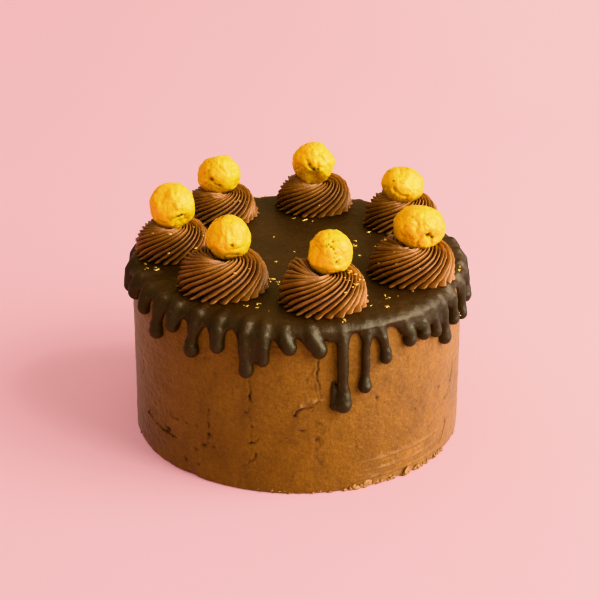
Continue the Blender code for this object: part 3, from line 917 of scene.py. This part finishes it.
def build_ball(number, ball, material):
    bm = bmesh.new()
    bmesh.ops.create_icosphere(bm, subdivisions=BALL_SUBDIVISIONS, radius=1.0)
    mesh = bpy.data.meshes.new(f"gilded_ball_{number}")
    bm.to_mesh(mesh)
    bm.free()
    directions = unit(mesh_points(mesh) * MM)
    skin = ball_skin(number, ball, directions)
    press, painted_shade = ball_relief(number, skin, directions)
    points = ball_centre(ball) + skin + directions * (BALL_PLUMP - press)[:, None]
    points[:, 2] = np.minimum(points[:, 2], SOLID_BOX[1][2] / MM - 0.1)
    move_points(mesh, points)
    mesh.update()
    mesh.shade_smooth()
    # painted shade in the folds, clefts and pits
    paint(mesh, "painted_shading", painted_shade)
    return make_piece(f"gilded_ball_{number}", mesh, material, [f"gold_ball_{number}"])


def clear_of_ball(points, number, ball):
    """Press points out of the ball that sits on a rosette."""
    centre = ball_centre(ball)
    apart = points - centre
    distance = np.linalg.norm(apart, axis=1)
    close = distance < max(ball[3:6]) / 2 + 1.5
    directions = apart[close] / distance[close][:, None]
    skin = np.linalg.norm(ball_skin(number, ball, directions), axis=1) - 0.15
    grown = np.maximum(distance[close], skin)
    points[close] = centre + directions * grown[:, None]
    return points


def rosette_profile():
    """Turn, twist and groove depth along a ridge, from the foot into the eye."""
    turns, twists, depths = np.array(ROSETTE_RINGS, float).T
    turn = np.linspace(turns[0], turns[-1], ROSETTE_ROWS)
    window = np.ones(9) / 9
    twist = np.convolve(np.pad(np.interp(turn, turns, twists), 4, mode="reflect", reflect_type="odd"),
                        window, mode="valid")
    return turn, twist, np.interp(turn, turns, depths)


def smeared(number, angle, turn, depth):
    """Groove depth and lift, with the smooth smear where the nozzle left a rosette."""
    if number not in SMEARS:
        return depth, 0.0
    direction, spread, middle, reach, rise = SMEARS[number]
    smear = bell(turn_between(angle, direction), spread) * bell(turn - middle, reach)
    return depth * (1.0 - 0.8 * smear), rise * smear


def rosette_form(number, place):
    """Rows of points up a rosette's ridges, how deep in a groove each lies,
    and its turn round the tube."""
    x, y, radius, height, first = place
    turn, twist, depth = (values[:, None] for values in rosette_profile())
    phase = np.arange(RIDGES * RIDGE_COLUMNS) / RIDGE_COLUMNS + np.zeros((ROSETTE_ROWS, 1))
    ridge = np.round(phase).astype(int) % RIDGES
    draw = random.Random(200 + number)
    shift, ridge_size, tooth = [np.array([draw.uniform(*spread) for _ in range(RIDGES)])[ridge]
                                for spread in RIDGE_SPREADS]
    uneven = (1.0 - 2.0 * np.abs(phase - np.round(phase))) * shift
    angle = first + twist + (phase + uneven) * 360.0 / RIDGES
    foot = clamp((-turn - 2.0) / 30.0)
    groove = 1.0 - np.abs(np.cos(math.pi * phase)) ** 1.1
    depth = DEEPER * depth * (1.0 - foot) + TOOTH_DEPTH * foot
    depth, lift = smeared(number, angle, turn, depth)
    size = (1.0 - depth * groove) * (1.0 + (ridge_size - 1.0) * (1.0 - groove))
    size += (TOOTH_FLARE + tooth) * foot * (1.0 - groove)
    radians = np.radians(turn)
    waist = WAIST * height
    foot_level = waist * (1.0 + np.sin(radians) / math.sin(math.radians(-FOOT_TURN)))
    tab = np.sqrt(clamp(1.0 - (groove / TAB_WIDTH) ** 2)) * (radians < 0.0)
    out = radius / 2 * (1.0 + size * np.cos(radians)) + TAB_OUT * tab * bell(foot_level - TAB_LEVEL, 0.9)
    level = np.where(radians < 0.0, foot_level, waist + (height - waist) * size * np.sin(radians)) + lift
    points = (np.array([x, y, TOP_HEIGHT - ROSETTE_SINK]) + polar(out, angle, level)).reshape(-1, 3)
    low = clamp(1.0 - level.ravel() / waist)
    points[:, 2] -= ganache_drop(from_axis(points)) * low
    return points, angle[0], groove.ravel(), np.repeat(turn, phase.shape[1])


def roughened(number, points, middle, groove, turn):
    """The points with the cream's fine unevenness, torn towards the top."""
    seed = 300 + 10 * number
    rough = 0.24 * ripple(points, 1.5, seed) + 0.12 * ripple(points, 0.8, seed + 1)
    rough = rough * (0.3 + 0.9 * (1.0 - groove)) + 0.3 * ripple(points, 6.0, seed + 2)
    torn = TORN_TOPS.get(number, TORN_ELSEWHERE) * clamp((turn - 60.0) / 50.0)
    rough += torn * (0.8 * ripple(points, 2.6, seed + 3) + 0.4 * ripple(points, 1.2, seed + 4))
    points = points + unit(points - middle) * rough[:, None]
    lowest = TOP_HEIGHT - BASE_SINK - ganache_drop(from_axis(points))
    points[:, 2] = np.maximum(points[:, 2], lowest)
    return points


def build_rosette(number, place, ball, material):
    x, y, radius, height, _ = place
    points, first_row, groove, turn = rosette_form(number, place)
    middle = np.array([x, y, TOP_HEIGHT + 0.3 * height])
    points = clear_of_ball(roughened(number, points, middle, groove, turn), number, ball)
    base = np.array([x, y, TOP_HEIGHT - BASE_SINK])
    eye = clear_of_ball(np.array([[x, y, TOP_HEIGHT + EYE_HEIGHT * height]]), number, ball)
    points = np.concatenate([base + polar(0.55 * radius, first_row, 0.0), points])
    columns = len(first_row)
    count = len(points)
    triangles = np.concatenate([fan(count, 0, columns, upward=False),
                                fan(count + 1, count - columns, columns, upward=True)])
    mesh = make_mesh(f"piped_rosette_{number}", np.concatenate([points, base[None, :], eye]),
                     ring_faces(ROSETTE_ROWS + 1, columns), triangles)
    # painted shade: the material darkens the cream in the grooves by this number
    paint(mesh, "groove", np.concatenate([np.ones(columns), groove, [1.0, 1.0]]))
    return make_piece(f"piped_rosette_{number}", mesh, material, [f"rosette_{number}"])


def lumps(places, sizes, seed, flat, thin=1.0, spins=None):
    """Points and triangles of many small uneven grains, as one array."""
    bm = bmesh.new()
    bmesh.ops.create_icosphere(bm, subdivisions=2, radius=1.0)
    grain = np.array([vertex.co for vertex in bm.verts])
    faces = np.array([[vertex.index for vertex in face.verts] for face in bm.faces])
    bm.free()
    draw = np.random.default_rng(seed)
    all_points = []
    all_faces = []
    for index, (place, size) in enumerate(zip(places, sizes)):
        shape = grain * (1.0 + 0.5 * ripple(grain + 7.0 * index, 0.8, seed))[:, None]
        stretch = [draw.uniform(0.7, 2.0), thin * draw.uniform(0.5, 1.0), flat * draw.uniform(0.7, 1.3)]
        shape = shape * np.array(stretch)
        spin = draw.uniform(0.0, 2.0 * math.pi) if spins is None else spins[index]
        turned = shape.copy()
        turned[:, 0] = shape[:, 0] * math.cos(spin) - shape[:, 1] * math.sin(spin)
        turned[:, 1] = shape[:, 0] * math.sin(spin) + shape[:, 1] * math.cos(spin)
        all_points.append(place + turned * size)
        all_faces.append(faces + index * len(grain))
    return np.concatenate(all_points), np.concatenate(all_faces)


def resting_places(spots, surfaces):
    """Drop points from above on to the surfaces."""
    trees = [BVHTree.FromObject(piece, bpy.context.evaluated_depsgraph_get()) for piece in surfaces]
    places = []
    for x, y in spots:
        best = None
        for tree in trees:
            hit = tree.ray_cast(Vector((x * MM, y * MM, 0.2)), Vector((0.0, 0.0, -1.0)))[0]
            if hit is not None and (best is None or hit.z > best):
                best = hit.z
        if best is not None:
            places.append(np.array([x, y, best / MM]))
    return places


def build_flecks(ganache, rosettes, material):
    draw = random.Random(9)
    spots = [(draw.gauss(x, spread), draw.gauss(y, spread))
             for x, y, spread, number in FLECK_SPOTS for _ in range(number)]
    places = resting_places(spots, [ganache])
    for number, direction, spread, amount in ROSETTE_FLECKS:
        x, y, radius = ROSETTES[number - 1][:3]
        around = []
        for _ in range(amount):
            turn = math.radians(draw.gauss(direction, spread))
            out = radius * draw.uniform(*FLECKS_OUT)
            around.append((x + out * math.cos(turn), y + out * math.sin(turn)))
        places += resting_places(around, [rosettes[number - 1]])
    sizes = [draw.uniform(*FLECK_SIZE) for _ in places]
    points, triangles = lumps(places, sizes, 31, 0.45)
    mesh = make_mesh("gold_flecks", points, NO_QUADS, triangles)
    return make_piece("gold_flecks", mesh, material, [])


def build_crumbs(material):
    draw = random.Random(17)
    places = []
    sizes = []
    spins = []
    for number in range(CRUMBS):
        low, high, coarse = CRUMB_STRETCHES[number % 3]
        angle = draw.uniform(low, high)
        if number % 2 == 0:
            angle = draw.gauss(draw.choice(CRUMB_CLUSTERS), 1.2)
            coarse = 1.0
        size = (CRUMB_SIZE[0] + (CRUMB_SIZE[1] - CRUMB_SIZE[0]) * draw.random() ** 2.5) * coarse
        out = BODY_RADIUS + draw.uniform(-0.4, 0.5)
        places.append(polar(out, angle, size * 0.6 + draw.uniform(0.0, 1.4)))
        sizes.append(size)
        spins.append(math.radians(angle + 90.0 + draw.uniform(-25.0, 25.0)))
    points, triangles = lumps(places, sizes, 32, 1.0, 0.6, spins)
    points[:, 2] = np.maximum(points[:, 2], 0.0)
    mesh = make_mesh("foot_crumbs", points, NO_QUADS, triangles)
    return make_piece("foot_crumbs", mesh, material, [])


def opaque(colour):
    """A fixed colour with full alpha; another node's output stays as it is."""
    return (*colour, 1.0) if isinstance(colour, tuple) else colour


class Nodes:
    """Short ways to lay out the nodes of a material or a world."""

    def __init__(self, owner, coordinates):
        owner.use_nodes = True
        self.tree = owner.node_tree
        self.place = self.add("ShaderNodeTexCoord").outputs[coordinates]

    def feed(self, node, inputs):
        """Give each named input a fixed value or another node's output."""
        for name, value in inputs.items():
            if isinstance(value, bpy.types.NodeSocket):
                self.tree.links.new(value, node.inputs[name])
            else:
                node.inputs[name].default_value = value

    def add(self, kind, inputs=None, **settings):
        node = self.tree.nodes.new(kind)
        for name, value in settings.items():
            setattr(node, name, value)
        self.feed(node, inputs or {})
        return node

    def along(self, axis):
        return self.add("ShaderNodeSeparateXYZ", {"Vector": self.place}).outputs[axis]

    def noise(self, size_mm, detail=3.0, stretch=(1.0, 1.0, 1.0), roughness=0.5):
        """A noise texture with bumps of about one size, from 0 to 1."""
        mapping = self.add("ShaderNodeMapping", {"Vector": self.place, "Scale": stretch})
        inputs = {"Vector": mapping.outputs["Vector"], "Scale": 1.0 / (size_mm * MM),
                  "Detail": detail, "Roughness": roughness}
        return self.add("ShaderNodeTexNoise", inputs).outputs["Fac"]

    def span(self, value, low, high, to_low=0.0, to_high=1.0, kind="SMOOTHSTEP"):
        inputs = {"Value": value, "From Min": low, "From Max": high, "To Min": to_low, "To Max": to_high}
        return self.add("ShaderNodeMapRange", inputs, interpolation_type=kind).outputs["Result"]

    def mix(self, share, one, two):
        """Mix two colours, each a socket or a value, by a share."""
        inputs = {"Factor": share, 6: opaque(one), 7: opaque(two)}
        return self.add("ShaderNodeMix", inputs, data_type="RGBA").outputs[2]

    def patches(self, under, over, size_mm, low, high, share=1.0, **kind):
        """Let a colour cover another in patches of about one size."""
        return self.mix(self.span(self.noise(size_mm, **kind), low, high, 0.0, share), under, over)


class Look(Nodes):
    """A material with one principled shader."""

    def __init__(self, name, roughness, specular=0.5, metallic=0.0):
        self.material = bpy.data.materials.new(name)
        super().__init__(self.material, "Object")
        self.shader = self.tree.nodes["Principled BSDF"]
        self.feed(self.shader, {"Roughness": roughness, "Metallic": metallic, "Specular IOR Level": specular})

    def sheen(self, weight, roughness, tint):
        inputs = {"Sheen Weight": weight, "Sheen Roughness": roughness, "Sheen Tint": opaque(tint)}
        self.feed(self.shader, inputs)

    def painted(self, name, colour, over, low=0.0, high=1.0, share=1.0):
        """Cover a colour where the mesh carries painted shading: painted shade or a painted highlight."""
        painted_shading = self.add("ShaderNodeAttribute", attribute_name=name).outputs["Fac"]
        if (low, high, share) != (0.0, 1.0, 1.0):
            painted_shading = self.span(painted_shading, low, high, 0.0, share)
        return self.mix(painted_shading, colour, over)

    def bump(self, *heights):
        """Chain bumps of (value, strength, distance in mm) into the shader."""
        normal = {}
        for value, strength, distance in heights:
            inputs = {"Height": value, "Strength": strength, "Distance": distance * MM, **normal}
            normal = {"Normal": self.add("ShaderNodeBump", inputs).outputs["Normal"]}
        self.feed(self.shader, normal)

    def finish(self, colour):
        self.feed(self.shader, {"Base Color": colour})
        return self.material


def frosting_material():
    look = Look("chocolate_buttercream", 0.55, 0.35)
    look.sheen(0.36, 0.43, (1.0, 0.88, 0.88))
    colour = look.patches((0.166, 0.0695, 0.002), (0.224, 0.096, 0.0038), 26.0, 0.3, 0.7, detail=5.0)
    # painted light: the wall is paler towards the top
    height = look.span(look.along("Z"), 0.005, 0.08, 0.0, 0.35)
    colour = look.mix(height, colour, (0.33, 0.168, 0.04))
    # upright streaks and bands, then fine grain, mottling and pale worn spots
    colour = look.patches(colour, (0.25, 0.113, 0.008), 11.0, 0.38, 0.66, 0.5,
                          detail=5.0, stretch=(1.0, 1.0, 0.3))
    colour = look.patches(colour, (0.135, 0.054, 0.004), 12.0, 0.5, 0.72, 0.45,
                          detail=5.0, stretch=(1.0, 1.0, 0.5))
    colour = look.patches(colour, (0.115, 0.045, 0.003), 1.5, 0.44, 0.68, 0.45, detail=5.0, roughness=0.65)
    colour = look.patches(colour, (0.13, 0.053, 0.004), 4.5, 0.5, 0.75, 0.45, detail=4.0)
    colour = look.patches(colour, (0.3, 0.155, 0.03), 2.0, 0.56, 0.72, 0.6,
                          detail=5.0, stretch=(1.0, 1.0, 1.6), roughness=0.6)
    # painted highlight on raised lines and scrape lips, and paler at the ragged foot
    colour = look.painted("crest", colour, (0.44, 0.25, 0.085))
    # painted shade in the wall's cracks, pits and torn band
    colour = look.painted("painted_shading", colour, (0.03, 0.009, 0.0015))
    look.bump((look.noise(1.3, 4.0, roughness=0.6), 0.7, 0.6),
              (look.noise(5.0, 5.0, (1.0, 1.0, 2.0)), 0.65, 0.8))
    return look.finish(colour)


def ganache_material():
    look = Look("dark_ganache", 0.52, 0.85)
    look.feed(look.shader, {"Specular Tint": opaque((1.0, 0.86, 0.59))})
    cloud = look.span(look.noise(24.0, 4.0), 0.3, 0.7)
    poured = look.mix(cloud, (0.019, 0.006, 0.0009), (0.033, 0.0118, 0.0019))
    hanging = look.mix(cloud, (0.006, 0.0038, 0.001), (0.013, 0.0088, 0.0025))
    height = look.span(look.along("Z"), 0.083, TOP_HEIGHT * MM)
    colour = look.mix(height, hanging, poured)
    colour = look.patches(colour, (0.16, 0.1, 0.04), 1.5, 0.6, 0.74, 0.45, detail=4.0, roughness=0.6)
    look.bump((look.noise(5.5, 3.0), 0.6, 1.1), (look.noise(2.0, 4.0, roughness=0.6), 0.55, 0.45))
    return look.finish(colour)


def piping_material():
    look = Look("piped_chocolate_cream", 0.46, 0.65)
    look.sheen(0.12, 0.45, (1.0, 0.86, 0.82))
    colour = look.patches((0.265, 0.106, 0.014), (0.37, 0.165, 0.036), 7.0, 0.3, 0.7)
    # painted shade in the grooves
    colour = look.painted("groove", colour, (0.028, 0.0085, 0.0014), 0.16, 0.72, 0.92)
    look.bump((look.noise(0.9, 3.0), 0.35, 0.3), (look.noise(2.6, 3.0), 0.25, 0.4))
    return look.finish(colour)


def gold_material():
    look = Look("gold_dusted_coating", 0.45, 0.25, 0.3)
    patch = look.span(look.noise(5.0, 4.0), 0.3, 0.7)
    shaded_gold = look.mix(patch, (1.0, 0.49, 0.0), (1.0, 0.55, 0.0))
    lit_gold = look.mix(patch, (0.77, 0.59, 0.006), (0.74, 0.625, 0.03))
    # painted light: pale yellow gold on the side facing the key light, orange gold on the side away from it
    normal = look.add("ShaderNodeNewGeometry").outputs["Normal"]
    light_facing = look.add("ShaderNodeVectorMath", {0: normal, 1: PAINTED_LIGHT_FROM}, operation="DOT_PRODUCT")
    colour = look.mix(look.span(light_facing.outputs["Value"], -0.15, 0.8), shaded_gold, lit_gold)
    colour = look.patches(colour, (0.8, 0.41, 0.0), 0.8, 0.58, 0.78, 0.45, detail=2.0)
    # painted shade in the folds, clefts and pits
    colour = look.painted("painted_shading", colour, (0.12, 0.045, 0.002))
    look.bump((look.noise(1.0, 4.0), 0.45, 0.3), (look.noise(3.4, 4.0), 0.4, 0.7))
    return look.finish(colour)


def fleck_material():
    look = Look("gold_leaf_flecks", 0.3, metallic=0.8)
    look.bump((look.noise(0.3), 0.3, 0.1))
    return look.finish(look.patches((0.85, 0.5, 0.06), (1.0, 0.8, 0.25), 0.7, 0.35, 0.65))


def crumb_material():
    look = Look("frosting_crumbs", 0.6)
    look.bump((look.noise(0.4), 0.4, 0.2))
    return look.finish(look.patches((0.36, 0.2, 0.08), (0.26, 0.125, 0.03), 1.2, 0.35, 0.65))


def floor_material():
    look = Look("pale_floor", 0.75)
    # painted light: the floor glows to keep its shadows pale
    look.feed(look.shader, {"Emission Color": opaque(FLOOR_GLOW), "Emission Strength": 1.0})
    # painted light: darker on the left, lighter on the right
    colour = look.mix(look.span(look.along("X"), *FLOOR_TURN), FLOOR_SHADED_LEFT, FLOOR_LIT_RIGHT)
    return look.finish(look.patches(colour, FLOOR_SHADED_LEFT, 400.0, 0.3, 0.7, 0.3, detail=2.0))


def build_stage():
    bpy.ops.mesh.primitive_circle_add(vertices=96, radius=FLOOR_RADIUS, fill_type="NGON")
    floor = bpy.context.object
    floor.name = "pale_floor"
    floor.data.materials.append(floor_material())
    world = bpy.data.worlds.new("soft_room")
    bpy.context.scene.world = world
    room = Nodes(world, "Generated")
    dim, bright = (WORLD_STRENGTH * (1.0 + lean) for lean in (-WORLD_LEAN, WORLD_LEAN))
    strength = room.span(room.along("X"), -1.0, 1.0, dim, bright, "LINEAR")
    behind = room.span(room.along("Y"), 0.2, 1.0, kind="LINEAR")
    colour = room.mix(behind, WORLD_COLOUR, WORLD_BEHIND)
    room.feed(room.tree.nodes["Background"], {"Color": colour, "Strength": strength})


def add_key_light():
    """A square soft light that looks at the cake from the right and a little in front."""
    light = bpy.data.lights.new("key", "AREA")
    light.size = KEY_SIZE
    light.energy = KEY_POWER
    light.color = KEY_COLOUR
    lamp = bpy.data.objects.new("key", light)
    turn = math.radians(KEY_AZIMUTH)
    rise = math.radians(KEY_ELEVATION)
    back = Vector((math.sin(turn) * math.cos(rise), -math.cos(turn) * math.cos(rise), math.sin(rise)))
    lamp.location = CAMERA_AIM * MM + back * KEY_DISTANCE
    lamp.rotation_euler = (-back).to_track_quat("-Z", "Y").to_euler()
    bpy.context.scene.collection.objects.link(lamp)


def add_camera():
    camera = bpy.data.cameras.new("camera")
    camera.sensor_width = SENSOR
    camera.lens = SENSOR * FOCAL_PIXELS / PICTURE_WIDTH
    eye = bpy.data.objects.new("camera", camera)
    rise = math.radians(CAMERA_ELEVATION)
    back = Vector((0.0, -math.cos(rise), math.sin(rise)))
    eye.location = (CAMERA_AIM + back * CAMERA_DISTANCE) * MM
    eye.rotation_euler = (math.radians(90.0 - CAMERA_ELEVATION), 0.0, 0.0)
    bpy.context.scene.collection.objects.link(eye)
    bpy.context.scene.camera = eye


def main():
    display = bpy.context.scene.view_settings
    display.view_transform = "Khronos PBR Neutral"
    display.gamma = DISPLAY_GAMMA
    add_camera()
    add_key_light()
    build_stage()
    build_body(frosting_material())
    ganache = build_ganache(ganache_material())
    piping = piping_material()
    gold = gold_material()
    rosettes = []
    for number, (place, ball) in enumerate(zip(ROSETTES, BALLS), start=1):
        rosettes.append(build_rosette(number, place, ball, piping))
        build_ball(number, ball, gold)
    build_flecks(ganache, rosettes, fleck_material())
    build_crumbs(crumb_material())


main()
